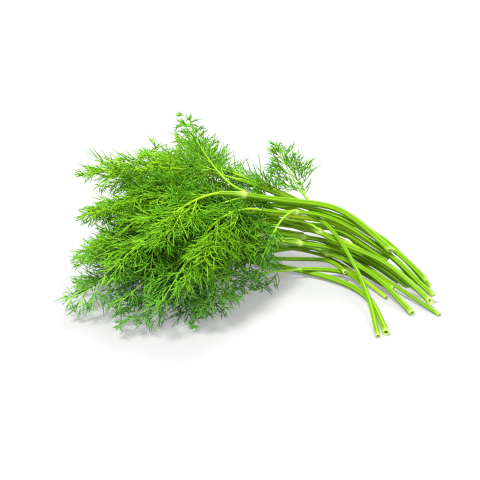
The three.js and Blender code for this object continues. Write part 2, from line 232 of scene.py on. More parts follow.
@dataclass(frozen=True)
class Line:
    """A smooth line in space with a radius, sampled at even steps of its length from base to tip."""

    points: np.ndarray
    radii: np.ndarray

    @property
    def length(self) -> float:
        """Length along the line."""
        return float(np.linalg.norm(np.diff(self.points, axis=0), axis=1).sum())

    def frames(self) -> tuple[np.ndarray, np.ndarray, np.ndarray]:
        """Three directions at right angles at every sample.

        Returns:
            The directions along the line, to its left and away from both.
        """
        return frames_along(self.points)

    def at(self, share: np.ndarray, rows: np.ndarray) -> np.ndarray:
        """Values part of the way along the line, each a straight mix of its two nearest samples.

        Args:
            share: shares of the line's length.
            rows: one row of values per sample of the line.

        Returns:
            One row of values per share.
        """
        x = np.clip(share, 0.0, 1.0) * (len(rows) - 1)
        low = np.minimum(x.astype(int), len(rows) - 2)
        part = (x - low)[..., None]
        return rows[low] * (1.0 - part) + rows[low + 1] * part

    @staticmethod
    def through(knots: np.ndarray, radii: np.ndarray, count: int) -> "Line":
        """A Catmull-Rom line through knots, with even spacing.

        Args:
            knots: points in order.
            radii: one radius per knot.
            count: how many samples the line gets.

        Returns:
            The line.
        """
        padded = np.vstack([2 * knots[0] - knots[1], knots, 2 * knots[-1] - knots[-2]])
        fine = np.linspace(0.0, len(knots) - 1.0, FINE_STEPS)
        k = np.minimum(fine.astype(int), len(knots) - 2)
        t = (fine - k)[:, None]
        a, b, c, d = padded[k], padded[k + 1], padded[k + 2], padded[k + 3]
        curve = 0.5 * (
            2 * b + (c - a) * t + (2 * a - 5 * b + 4 * c - d) * t**2 + (3 * b - a - 3 * c + d) * t**3
        )
        gone = np.concatenate([[0.0], np.cumsum(np.linalg.norm(np.diff(curve, axis=0), axis=1))])
        even = np.linspace(0.0, gone[-1], count)
        points = np.column_stack([np.interp(even, gone, curve[:, j]) for j in range(3)])
        thick = np.interp(np.interp(even, gone, fine), np.arange(len(radii)), radii)
        return Line(points, thick)


def stem_line(name: str, count: int) -> Line:
    """A stem's axis from its cut end to its top, from the rings of its solid.

    Args:
        name: the stem's node.
        count: samples along the line.

    Returns:
        The axis, with the solid's radius along it.
    """
    solid = Welded.read(name)
    for reach in RING_REACHES:
        label = solid.clusters(reach)
        if label.max() + 1 >= FEWEST_RINGS:
            break
    size = np.bincount(label)
    middle = np.column_stack([np.bincount(label, solid.points[:, j]) for j in range(3)]) / size[:, None]
    off = np.linalg.norm(solid.points - middle[label], axis=1)
    radius = np.zeros(len(size))
    np.maximum.at(radius, label, off)
    spread = middle - middle.mean(axis=0)
    way = np.linalg.svd(spread, full_matrices=False)[2][0]
    order = np.argsort(spread @ way)
    if radius[order[:3]].mean() < radius[order[-3:]].mean():
        order = order[::-1]
    # the pith hollow's inner ring is thinner than the rings round it
    wide = radius[order]
    keep = np.ones(len(order), bool)
    keep[1:-1] = wide[1:-1] > HOLLOW_RING * np.minimum(wide[:-2], wide[2:])
    knots = middle[order][keep]
    for _ in range(2):
        knots[1:-1] = 0.5 * knots[1:-1] + 0.25 * (knots[:-2] + knots[2:])
    return Line.through(knots, wide[keep], count)


@dataclass(frozen=True)
class Skeleton:
    """A frond's rachis and the side branches of its solid."""

    rachis: Line
    seats: np.ndarray  # where each branch leaves the rachis, as a share of its length
    branches: np.ndarray  # from seat to tip, in metres


def frond_skeleton(name: str, base: np.ndarray, count: int) -> Skeleton:
    """A frond's skeleton from its solid.

    The needle-sharp vertices are the tips of the rachis and of the branches. The rest lie on the rachis,
    and a curve of the fifth degree in their distance from the base runs through their middle.

    Args:
        name: the frond's node.
        base: a point near the end where the frond joins its stem.
        count: samples along the rachis.

    Returns:
        The skeleton.
    """
    solid = Welded.read(name)
    sharp, way = solid.sharpness()
    tips = np.flatnonzero(sharp > NEEDLE)
    body = np.flatnonzero(sharp <= NEEDLE)
    start = body[np.argmin(np.linalg.norm(solid.points[body] - base, axis=1))]
    ring = body[np.linalg.norm(solid.points[body] - solid.points[start], axis=1) < FOOT_REACH]
    foot = solid.points[ring].mean(axis=0)
    last = tips[np.argmax(np.linalg.norm(solid.points[tips] - foot, axis=1))]
    reach = np.linalg.norm(solid.points[last] - foot)
    on_axis = solid.points[body]
    far = np.linalg.norm(on_axis - foot, axis=1) / reach
    t = np.concatenate([[0.0, 1.0], far])
    where = np.vstack([foot, solid.points[last], on_axis])
    weight = np.concatenate([[END_WEIGHT, END_WEIGHT], np.ones(len(far))])
    curve = np.polynomial.polynomial.polyfit(t, where, 5, w=weight)
    knots = np.polynomial.polynomial.polyval(np.linspace(0.0, 1.0, RACHIS_KNOTS), curve).T
    rachis = Line.through(knots, np.linspace(1.0, 0.4, RACHIS_KNOTS) * MM, count)
    others = tips[tips != last]
    # each branch's straight line is followed back to where it comes closest to the rachis
    back = unit(way[others])
    rel = rachis.points[None, :, :] - solid.points[others][:, None, :]
    run = np.einsum("psk,pk->ps", rel, back)
    off = np.linalg.norm(rel - run[..., None] * back[:, None, :], axis=2)
    nearest = np.argmin(off + (run < 0) * 1.0, axis=1)
    seats = nearest / (count - 1.0)
    return Skeleton(rachis, seats, solid.points[others] - rachis.points[nearest])


# ---- Many thin round twigs in one mesh ---------------------------------------------------------------------


@dataclass
class Twigs:
    """A set of twigs, each a tapering three-sided bar along a parabola from its base.

    A twig's axis is base + reach * t + bend * t^2, and its radius falls from thick to thin.
    """

    base: np.ndarray
    reach: np.ndarray
    bend: np.ndarray
    thick: np.ndarray
    thin: np.ndarray
    tone: np.ndarray

    def at(self, owner: np.ndarray, t: np.ndarray) -> tuple[np.ndarray, np.ndarray]:
        """Places on chosen twigs.

        Args:
            owner: the number of each place's twig.
            t: how far along its twig each place is, from 0 to 1.

        Returns:
            The places, and the unit directions along the twigs there.
        """
        s = t[:, None]
        place = self.base[owner] + self.reach[owner] * s + self.bend[owner] * s**2
        return place, unit(self.reach[owner] + 2.0 * self.bend[owner] * s)

    @staticmethod
    def curved(
        base: np.ndarray,
        reach: np.ndarray,
        bend: np.ndarray,
        thick: np.ndarray | float,
        thin: float,
        tone: np.ndarray,
    ) -> "Twigs":
        """Makes twigs that bend from a straight course by half a bend at their tips.

        Args:
            base: where each starts.
            reach: its straight course, from base to tip.
            bend: its bend.
            thick: its radius at the base, or one for all.
            thin: the radius at every tip.
            tone: its tone.

        Returns:
            The twigs.
        """
        count = len(tone)
        return Twigs(base, reach - 0.5 * bend, bend, np.full(count, thick), np.full(count, thin), tone)

    def length(self) -> np.ndarray:
        """Straight distance from base to tip of each twig."""
        return np.linalg.norm(self.reach + self.bend, axis=1)

    def middle(self) -> np.ndarray:
        """The place halfway along each twig."""
        return self.base + 0.5 * self.reach + 0.25 * self.bend


@dataclass
class MeshParts:
    """Arrays that are gathered and then become one mesh."""

    points: list[np.ndarray] = field(default_factory=list)
    quads: list[np.ndarray] = field(default_factory=list)
    tris: list[np.ndarray] = field(default_factory=list)
    quad_uv: list[np.ndarray] = field(default_factory=list)
    tri_uv: list[np.ndarray] = field(default_factory=list)
    size: int = 0

    def add(
        self,
        points: np.ndarray,
        quads: np.ndarray,
        tris: np.ndarray,
        quad_uv: np.ndarray,
        tri_uv: np.ndarray,
    ) -> None:
        """Adds one shape's arrays.

        Args:
            points: its vertices, (n, 3).
            quads: its four-sided faces, numbered from its own first vertex.
            tris: its three-sided faces, numbered in the same way.
            quad_uv: a place in the map for each corner of the four-sided faces.
            tri_uv: the same for the three-sided faces.
        """
        self.points.append(points)
        self.quads.append(quads + self.size)
        self.tris.append(tris + self.size)
        self.quad_uv.append(quad_uv)
        self.tri_uv.append(tri_uv)
        self.size += len(points)

    def add_twigs(self, twigs: Twigs, rings: int) -> None:
        """Adds every twig: rings of three vertices at even steps, a point at the tip and a cap at the base.

        A ring's vertex is axis + radius * (side cos a + out sin a), where side and out stand square to the
        axis and a is a third of a turn times the vertex's number.

        Args:
            twigs: the twigs.
            rings: how many rings each has.
        """
        n = len(twigs.base)
        if n == 0:
            return
        steps = np.append(np.linspace(0.0, LAST_RING, rings), 1.0)
        t = steps[None, :, None]
        axis = twigs.base[:, None] + twigs.reach[:, None] * t + twigs.bend[:, None] * t**2
        axis[..., 2] = np.maximum(axis[..., 2], FLOOR_GAP + twigs.thick[:, None])
        way = unit(twigs.reach[:, None] + 2.0 * twigs.bend[:, None] * t)
        helper = np.where(np.abs(way[:, :1, 2:]) > NEARLY_UPRIGHT, np.array([1.0, 0.0, 0.0]), UP)
        side = unit(np.cross(np.broadcast_to(helper, way.shape), way))
        out = np.cross(way, side)
        angle = np.arange(3) * (FULL_TURN / 3.0)
        taper = steps[:rings] / steps[rings - 1]
        radius = (twigs.thick[:, None] + (twigs.thin - twigs.thick)[:, None] * taper)[..., None, None]
        circle = (
            side[:, :rings, None] * np.cos(angle)[:, None] + out[:, :rings, None] * np.sin(angle)[:, None]
        )
        body = axis[:, :rings, None] + circle * radius
        per = rings * 3 + 1
        points = np.concatenate([body.reshape(n, rings * 3, 3), axis[:, rings:]], axis=1).reshape(-1, 3)

        r, k = np.meshgrid(np.arange(rings - 1), np.arange(3), indexing="ij")
        a, b = (r * 3 + k).ravel(), (r * 3 + (k + 1) % 3).ravel()
        quad = np.column_stack([a, b, b + 3, a + 3])
        last = (rings - 1) * 3
        tip = per - 1
        tri = np.array([[last, last + 1, tip], [last + 1, last + 2, tip], [last + 2, last, tip], [0, 2, 1]])
        first = (np.arange(n) * per)[:, None, None]
        quads = (quad[None] + first).reshape(-1, 4)
        tris = (tri[None] + first).reshape(-1, 3)

        # u runs along the twig, and v is its tone plus a little round it, so that a face has area in the map
        ring_u = steps[: rings - 1].repeat(3)
        next_u = steps[1:rings].repeat(3)
        lane = np.tile(np.arange(3), rings - 1) * LANE
        quad_u = np.column_stack([ring_u, ring_u, next_u, next_u])
        quad_v = np.column_stack([lane, lane + LANE, lane + LANE, lane])
        tri_u = np.array([[steps[rings - 1]] * 2 + [1.0]] * 3 + [[0.0, 0.0, 0.01]])
        tri_v = np.array([[0.0, 1.0, 0.5], [1.0, 2.0, 1.5], [2.0, 3.0, 2.5], [0.0, 1.0, 0.5]]) * LANE
        tone = (LOWEST_TONE + TONE_SPAN * np.clip(twigs.tone, 0.0, 1.0))[:, None, None]
        quad_uv = np.stack([np.broadcast_to(quad_u, (n, *quad_u.shape)), quad_v + tone], axis=-1)
        tri_uv = np.stack([np.broadcast_to(tri_u, (n, *tri_u.shape)), tri_v + tone], axis=-1)
        self.add(points, quads, tris, quad_uv.reshape(-1, 2), tri_uv.reshape(-1, 2))

    def build(self, name: str) -> bpy.types.Object:
        """One smooth-shaded object with all the parts.

        Args:
            name: the piece's name.

        Returns:
            The object, linked to the scene.
        """
        points = np.vstack(self.points)
        quads = np.vstack(self.quads).astype(np.int32)
        tris = np.vstack(self.tris).astype(np.int32)
        uv = np.vstack(self.quad_uv + self.tri_uv)
        mesh = bpy.data.meshes.new(name)
        mesh.vertices.add(len(points))
        mesh.vertices.foreach_set("co", points.astype(np.float32).ravel())
        corners = np.concatenate([quads.ravel(), tris.ravel()])
        mesh.loops.add(len(corners))
        mesh.loops.foreach_set("vertex_index", corners)
        sizes = np.concatenate([np.full(len(quads), 4), np.full(len(tris), 3)]).astype(np.int32)
        mesh.polygons.add(len(sizes))
        mesh.polygons.foreach_set("loop_start", (np.cumsum(sizes) - sizes).astype(np.int32))
        mesh.polygons.foreach_set("use_smooth", np.ones(len(sizes), bool))
        layer = mesh.uv_layers.new(name=BAKE_MAP)
        layer.data.foreach_set("uv", uv.astype(np.float32).ravel())
        mesh.update(calc_edges=True)
        mesh.validate()
        return link_object(name, mesh)


# ---- Finishes ----------------------------------------------------------------------------------------------


class Nodes:
    """A node tree under construction, with short ways to add and join nodes."""

    def __init__(self, tree: bpy.types.NodeTree) -> None:
        """Starts work on a tree.

        Args:
            tree: the material's or the group's node tree.
        """
        self.tree = tree

    def add(self, kind: str, **settings: object) -> bpy.types.Node:
        """Adds a node.

        Args:
            kind: its type.
            settings: its properties and their values.

        Returns:
            The node.
        """
        node = self.tree.nodes.new(kind)
        for key, value in settings.items():
            setattr(node, key, value)
        return node

    def feed(self, socket: bpy.types.NodeSocket, value: object) -> None:
        """Sets an input, or joins an output to it.

        Args:
            socket: the input.
            value: an output socket, a number, a vector, or a colour of three parts.
        """
        if isinstance(value, bpy.types.NodeSocket):
            self.tree.links.new(value, socket)
        elif isinstance(value, tuple) and socket.type == "RGBA":
            socket.default_value = (*value, 1.0)
        else:
            socket.default_value = value

    def math(self, operation: str, *operands: object) -> bpy.types.NodeSocket:
        """Adds a Math node.

        Args:
            operation: what it does.
            operands: numbers or output sockets.

        Returns:
            Its result.
        """
        node = self.add("ShaderNodeMath", operation=operation)
        for socket, value in zip(node.inputs, operands):
            self.feed(socket, value)
        return node.outputs[0]

    def ramp(self, value: bpy.types.NodeSocket, stops: Stops) -> bpy.types.NodeSocket:
        """Adds a colour ramp.

        Args:
            value: what it runs over.
            stops: places from 0 to 1 and their colours.

        Returns:
            The colour.
        """
        node = self.add("ShaderNodeValToRGB")
        colors = node.color_ramp.elements
        while len(colors) < len(stops):
            colors.new(0.5)
        for element, (place, color) in zip(colors, stops):
            element.position = place
            element.color = (*color, 1.0)
        self.feed(node.inputs[0], value)
        return node.outputs[0]

    def blend(self, amount: object, low: object, high: object) -> bpy.types.NodeSocket:
        """Adds a mix of two colours.

        Args:
            amount: how much of the second there is.
            low: the first colour.
            high: the second colour.

        Returns:
            The mixed colour.
        """
        node = self.add("ShaderNodeMix", data_type="RGBA")
        self.feed(node.inputs[0], amount)
        self.feed(node.inputs[6], low)
        self.feed(node.inputs[7], high)
        return node.outputs[2]

    def split(self, vector: bpy.types.NodeSocket) -> list[bpy.types.NodeSocket]:
        """Takes a vector apart.

        Args:
            vector: the vector.

        Returns:
            Its three parts.
        """
        node = self.add("ShaderNodeSeparateXYZ")
        self.feed(node.inputs[0], vector)
        return list(node.outputs)


class Shader(Nodes):
    """A material under construction, with its Principled surface."""

    def __init__(self, name: str) -> None:
        """Starts a plain material.

        Args:
            name: the material's name.
        """
        self.material = bpy.data.materials.new(name)
        self.material.use_nodes = True
        super().__init__(self.material.node_tree)
        self.surface = self.tree.nodes["Principled BSDF"]

    def set(self, **values: object) -> None:
        """Sets inputs of the surface.

        Args:
            values: an input's name, with _ for each space, and its value or the output that feeds it.
        """
        for name, value in values.items():
            self.feed(self.surface.inputs[name.replace("_", " ")], value)

    def bake_map(self) -> bpy.types.NodeSocket:
        """The piece's own map."""
        return self.add("ShaderNodeUVMap", uv_map=BAKE_MAP).outputs[0]

    def place(self, group: bpy.types.NodeTree, **values: object) -> bpy.types.NodeSocket:
        """Places a node group in the material.

        Args:
            group: the group.
            values: a group input's name, with _ for each space, and its value or the output that feeds it.

        Returns:
            The group's output.
        """
        node = self.add("ShaderNodeGroup", node_tree=group)
        for name, value in values.items():
            self.feed(node.inputs[name.replace("_", " ")], value)
        return node.outputs[0]


class Effect(Nodes):
    """A node group under construction, which more than one material uses."""

    def __init__(self, name: str, takes: dict[str, str], gives: tuple[str, str]) -> None:
        """Starts a group with its sockets.

        Args:
            name: the group's name.
            takes: its inputs' names, and their types.
            gives: its output's name and type.
        """
        self.group = bpy.data.node_groups.new(name, "ShaderNodeTree")
        super().__init__(self.group)
        for socket, kind in takes.items():
            self.group.interface.new_socket(name=socket, in_out="INPUT", socket_type=kind)
        self.group.interface.new_socket(name=gives[0], in_out="OUTPUT", socket_type=gives[1])
        self.taken = self.add("NodeGroupInput").outputs
        self.given = self.add("NodeGroupOutput").inputs[0]


@dataclass(frozen=True)
class ThreadTint:
    """What a leaf's place does to its colour: bluer low in the heap, and paler at a thread's two ends."""

    low: float = 8.0 * MM  # height up to which the leaves are as blue as they get
    high: float = 62.0 * MM  # height from which they are not blue at all
    root_color: Color = (0.30, 0.52, 0.05)
    tip_color: Color = (0.20, 0.42, 0.05)

    def make(self) -> bpy.types.NodeTree:
        """Builds the group.

        The share of the blue tones falls smoothly with height. The root's share is (1 - u)^3 and the tip's is
        u^4, each times its own input, where u runs along the thread.

        Returns:
            The group.
        """
        number = "NodeSocketFloat"
        takes = {"Color": "NodeSocketColor", "Tone": number, "Along": number}
        takes |= {"Blue Share": number, "Root Share": number, "Tip Share": number}
        effect = Effect("thread_tint", takes, ("Color", "NodeSocketColor"))
        height = effect.split(effect.add("ShaderNodeTexCoord").outputs["Object"])[2]
        fall = effect.add("ShaderNodeMapRange", interpolation_type="SMOOTHSTEP")
        limits = (height, self.low, self.high, effect.taken["Blue Share"], 0.0)
        for socket, value in zip(list(fall.inputs)[:5], limits):
            effect.feed(socket, value)
        blue = effect.ramp(effect.taken["Tone"], LOW_TONES)
        color = effect.blend(fall.outputs[0], effect.taken["Color"], blue)
        along = effect.taken["Along"]
        root = effect.math("POWER", effect.math("SUBTRACT", 1.0, along), 3.0)
        root = effect.math("MULTIPLY", root, effect.taken["Root Share"])
        color = effect.blend(root, color, self.root_color)
        tip = effect.math("MULTIPLY", effect.math("POWER", along, 4.0), effect.taken["Tip Share"])
        effect.feed(effect.given, effect.blend(tip, color, self.tip_color))
        return effect.group


@dataclass(frozen=True)
class RibLevel:
    """How high the skin of a stalk stands: its ribs, and fine streaks along it."""

    stretch: tuple[float, float, float] = (4.0, 2.0, 1.0)
    grain: float = 3.0
    detail: float = 3.0

    def make(self) -> bpy.types.NodeTree:
        """Builds the group.

        The level is the rib share times half of 1 + sin(turn * ribs), plus the streak share times a noise
        that is stretched along the stalk.

        Returns:
            The group.
        """
        number = "NodeSocketFloat"
        takes = {"Map": "NodeSocketVector", "Ribs": number, "Rib Share": number, "Streak Share": number}
        effect = Effect("rib_level", takes, ("Level", number))
        stretch = effect.add("ShaderNodeMapping")
        effect.feed(stretch.inputs["Vector"], effect.taken["Map"])
        effect.feed(stretch.inputs["Scale"], self.stretch)
        streak = effect.add("ShaderNodeTexNoise")
        effect.feed(streak.inputs["Vector"], stretch.outputs[0])
        effect.feed(streak.inputs["Scale"], self.grain)
        effect.feed(streak.inputs["Detail"], self.detail)
        around = effect.split(effect.taken["Map"])[0]
        turn = effect.math("MULTIPLY", around, effect.math("MULTIPLY", effect.taken["Ribs"], FULL_TURN))
        wave = effect.math("MULTIPLY_ADD", effect.math("SINE", turn), 0.5, 0.5)
        streaks = effect.math("MULTIPLY", streak.outputs[0], effect.taken["Streak Share"])
        level = effect.math("MULTIPLY_ADD", wave, effect.taken["Rib Share"], streaks)
        effect.feed(effect.given, level)
        return effect.group


@dataclass(frozen=True)
class LeafFinish:
    """Fine leaf threads, from the deep blue-green of shaded threads to the yellow-green of the stalks."""

    name: str
    tones: Stops
    blue_share: float = 0.75
    root_share: float = 0.35
    tip_share: float = 0.3
    roughness: float = 0.5
    gloss: float = 0.06

    def make(self, tint: bpy.types.NodeTree) -> bpy.types.Material:
        """Makes the material.

        Args:
            tint: the thread tint group.

        Returns:
            The material, whose map gives the place along a thread and its tone.
        """
        shader = Shader(self.name)
        along, tone, _ = shader.split(shader.bake_map())
        color = shader.place(
            tint,
            Color=shader.ramp(tone, self.tones),
            Tone=tone,
            Along=along,
            Blue_Share=self.blue_share,
            Root_Share=self.root_share,
            Tip_Share=self.tip_share,
        )
        shader.set(Base_Color=color, Roughness=self.roughness, Specular_IOR_Level=self.gloss)
        return shader.material


@dataclass(frozen=True)
class StemFinish:
    """A waxy ribbed stalk: pale ridges and darker furrows along it, pale at the joints and at the cut."""

    name: str
    ridge: Color
    flesh: Color
    furrow: Color
    pale: Color = (0.44, 0.62, 0.13)
    ribs: float = 5.0
    rib_share: float = 0.55
    streak_share: float = 0.45
    roughness: float = 0.38
    gloss: float = 0.12
    bump_strength: float = 0.25
    bump_height: float = 0.2 * MM

    def make(self, levels: bpy.types.NodeTree) -> bpy.types.Material:
        """Makes the material.

        Args:
            levels: the rib level group.

        Returns:
            The material, whose map gives the place round the stem and along it.
        """
        shader = Shader(self.name)
        level = shader.place(
            levels,
            Map=shader.bake_map(),
            Ribs=self.ribs,
            Rib_Share=self.rib_share,
            Streak_Share=self.streak_share,
        )
        color = shader.ramp(level, ((0.12, self.furrow), (0.5, self.flesh), (0.85, self.ridge)))
        mask = shader.add("ShaderNodeAttribute", attribute_name="pale")
        bump = shader.add("ShaderNodeBump")
        shader.feed(bump.inputs["Strength"], self.bump_strength)
        shader.feed(bump.inputs["Distance"], self.bump_height)
        shader.feed(bump.inputs["Height"], level)
        shader.set(
            Base_Color=shader.blend(mask.outputs["Fac"], color, self.pale),
            Normal=bump.outputs[0],
            Roughness=self.roughness,
            Specular_IOR_Level=self.gloss,
        )
        return shader.material


LOW_TONES = (
    (0.0, (0.004, 0.034, 0.010)),
    (0.25, (0.026, 0.150, 0.032)),
    (0.5, (0.098, 0.360, 0.068)),
    (0.75, (0.200, 0.520, 0.072)),
    (1.0, (0.340, 0.630, 0.060)),
)
LEAF_TOP = LeafFinish(
    "leaf_threads_top",
    (
        (0.0, (0.004, 0.036, 0.002)),
        (0.25, (0.026, 0.140, 0.002)),
        (0.5, (0.122, 0.360, 0.004)),
        (0.75, (0.250, 0.525, 0.006)),
        (1.0, (0.390, 0.630, 0.016)),
    ),
)
LEAF_SIDE = LeafFinish(
    "leaf_threads_side",
    (
        (0.0, (0.004, 0.036, 0.004)),
        (0.25, (0.022, 0.130, 0.008)),
        (0.5, (0.085, 0.320, 0.014)),
        (0.75, (0.190, 0.480, 0.012)),
        (1.0, (0.340, 0.610, 0.016)),
    ),
)
STEM_GREEN = StemFinish(
    "stem_green", ridge=(0.26, 0.47, 0.012), flesh=(0.14, 0.33, 0.003), furrow=(0.08, 0.23, 0.002)
)
STEM_LIME = StemFinish(
    "stem_lime", ridge=(0.44, 0.61, 0.030), flesh=(0.29, 0.49, 0.008), furrow=(0.18, 0.37, 0.004)
)


# ---- Stems -------------------------------------------------------------------------------------------------


@dataclass
class Stem:
    """One hollow stalk: a ribbed tube with swollen pale joints, a cut end and an open pith hollow."""

    number: int
    lime: bool
    joints: list[float]  # shares of its length where a second frond's stalk leaves it
    around: int = 40
    along: int = 80
    rib_depth: float = 0.03
    ribs: int = 10
    most_twist: float = 1.2
    hollow_share: float = 0.52
    hollow_depth: float = 7.0 * MM
    bulge_reach: float = 3.2 * MM  # how far a joint's swelling goes along the stem
    pale_reach: float = 2.2 * MM  # how far a joint's pale ring goes, and the cut's
    cut_reach: float = 9.0 * MM  # how far up the stem the slant of the cut shows
    cut_band: float = 0.06  # the cut face's share of the map
    skin_band: float = 0.93  # the outer skin's share of the map

    @property
    def name(self) -> str:
        """The node this stem stands for."""
        return f"stem_{self.number:02d}"

    def build(self, finish: bpy.types.Material) -> bpy.types.Object:
        """Makes the stem.

        Args:
            finish: the stem's material.

        Returns:
            The piece.
        """
        line = stem_line(self.name, self.along)
        t = np.linspace(0.0, 1.0, self.along)
        swell, pale = self._joint_marks(t, line.length)
        face, outer, top = self._rings(line, t, swell)
        grid = np.concatenate([face, outer, top], axis=0)
        points = grid[:, :-1].reshape(-1, 3)
        points[:, 2] = np.maximum(points[:, 2], STEM_GAP)
        cut = np.linspace(0.0, self.cut_band, len(face))
        v = np.concatenate([cut, self.cut_band + self.skin_band * t, [1.0]])
        quads = loft_quads(len(grid), self.around)
        parts = MeshParts()
        parts.add(points, quads, np.empty((0, 3), int), self._map(v), np.empty((0, 2)))
        made = parts.build(self.name + "_skin")
        shade = np.concatenate([np.linspace(0.9, 1.0, len(face)), np.clip(pale, 0.0, 1.0), [0.0]])
        layer = made.data.attributes.new("pale", "FLOAT", "POINT")
        layer.data.foreach_set("value", np.repeat(shade, self.around).astype(np.float32))
        made.data.materials.append(finish)
        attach(made, "root")
        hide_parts(self.name)
        return made

    def _joint_marks(self, t: np.ndarray, length: float) -> tuple[np.ndarray, np.ndarray]:
        """Works out the swelling and the pale rings along the stem.

        Each joint adds exp(-(d / reach)^2), where d is the distance from it, and a sheath that starts a
        little before the joint and fades above it.

        Args:
            t: shares of the stem's length.
            length: that length.

        Returns:
            How much wider, and how pale, the stem is at each share.
        """
        swell, pale = np.zeros(len(t)), np.zeros(len(t))
        for joint in self.joints:
            d = (t - joint) * length
            sheath = smoothstep(d, -4 * MM, 0) * smoothstep(-d, -16 * MM, 0)
            bloom = smoothstep(d, -2 * MM, 0) * smoothstep(-d, -14 * MM, 0)
            swell += 0.32 * np.exp(-((d / self.bulge_reach) ** 2)) + 0.16 * sheath
            pale += 0.85 * np.exp(-((d / self.pale_reach) ** 2)) + 0.35 * bloom
        pale += 0.7 * np.exp(-((t * length / self.pale_reach) ** 2))
        return swell, pale

    def _rings(self, line: Line, t: np.ndarray, swell: np.ndarray) -> tuple[np.ndarray, ...]:
        """Works out the stem's surface as rings.

        The outer skin is the circle left cos a + above sin a times the radius, and the radius is the solid's,
        times a small rib wave in a, times one plus the swelling. The rim and the pith hollow go on from the
        first ring: the same circle, drawn in to the hollow's radius and then down it to its closed floor. A
        slanted cut moves a ring along the stem by a cosine of a, and that fades up the stem.

        Args:
            line: the stem's axis.
            t: the share of its length at each of its samples.
            swell: how much wider the stem is there.

        Returns:
            The rings of the cut face from its middle outwards, of the skin, and of the closed top.
        """
        random = np.random.default_rng(700 + self.number)
        tangent, left, above = line.frames()
        a = np.linspace(0.0, FULL_TURN, self.around + 1)
        # solids are inscribed polygons, so the round skin is a touch wider
        radius = line.radii * (1.04 + 0.3 * smoothstep(t, 0.2, 0.8)) * (1.0 + swell)
        phase = random.uniform(0.0, FULL_TURN)
        twist = random.uniform(-self.most_twist, self.most_twist)
        ribs = 1.0 + self.rib_depth * np.cos(self.ribs * (a[None, :] + twist * t[:, None]) + phase)
        slant = self._slant(random)
        shift = slant * np.cos(a - random.uniform(0, FULL_TURN))
        fade = np.exp(-t * line.length / self.cut_reach)[:, None]
        spin = a[None, :, None]
        circle = left[:, None] * np.cos(spin) + above[:, None] * np.sin(spin)
        wide = line.radii[0]
        outer = (
            line.points[:, None]
            + circle * (radius[:, None] * ribs)[..., None]
            + tangent[:, None] * (shift[None] * fade * wide)[..., None]
        )
        hollow, floor = self.hollow_share, self.hollow_depth / wide
        out = np.array([0.97, 0.86, hollow, hollow * 0.96, hollow * 0.9, 0.0])
        deep = np.array([-0.15, -0.22, -0.05, 1.2, floor, floor])
        face = (
            line.points[0]
            + circle[0][None] * (out * wide)[:, None, None]
            + tangent[0] * ((deep * wide)[:, None] + shift[None] * wide)[..., None]
        )
        top = line.points[-1] + tangent[-1] * 0.6 * line.radii[-1]
        return face[::-1], outer, np.broadcast_to(top, (1, self.around + 1, 3))

    def _map(self, v: np.ndarray) -> np.ndarray:
        """Lays the rings out as straight bands.

        Args:
            v: each ring's place in the map.

        Returns:
            For each corner of each face, the share of a turn and the ring's place.
        """
        i, j = np.meshgrid(np.arange(len(v) - 1), np.arange(self.around), indexing="ij")
        u = np.linspace(0.0, 1.0, self.around + 1)
        corners = [u[j], v[i], u[j + 1], v[i], u[j + 1], v[i + 1], u[j], v[i + 1]]
        return np.stack(corners, -1).reshape(-1, 2)

    @staticmethod
    def _slant(random: np.random.Generator) -> float:
        """How far the knife's cut leans, as a share of the radius."""
        return float(random.choice([0.15, 0.3, 0.9], p=[0.5, 0.3, 0.2]))


# ---- Fronds ------------------------------------------------------------------------------------------------


def leaning(way: np.ndarray, side: np.ndarray, rise: np.ndarray, lean: np.ndarray) -> np.ndarray:
    """Finds the directions of twigs that leave others at an angle.

    Args:
        way: unit directions along the twigs that they leave.
        side: how much of the lean goes to the left.
        rise: how much of it goes upwards.
        lean: the angle, in degrees.

    Returns:
        One direction per twig.
    """
    left = unit(np.cross(UP, way))
    above = np.cross(way, left)
    out = left * side[:, None] + above * rise[:, None]
    angle = np.radians(lean)[:, None]
    return way * np.cos(angle) + out * np.sin(angle)


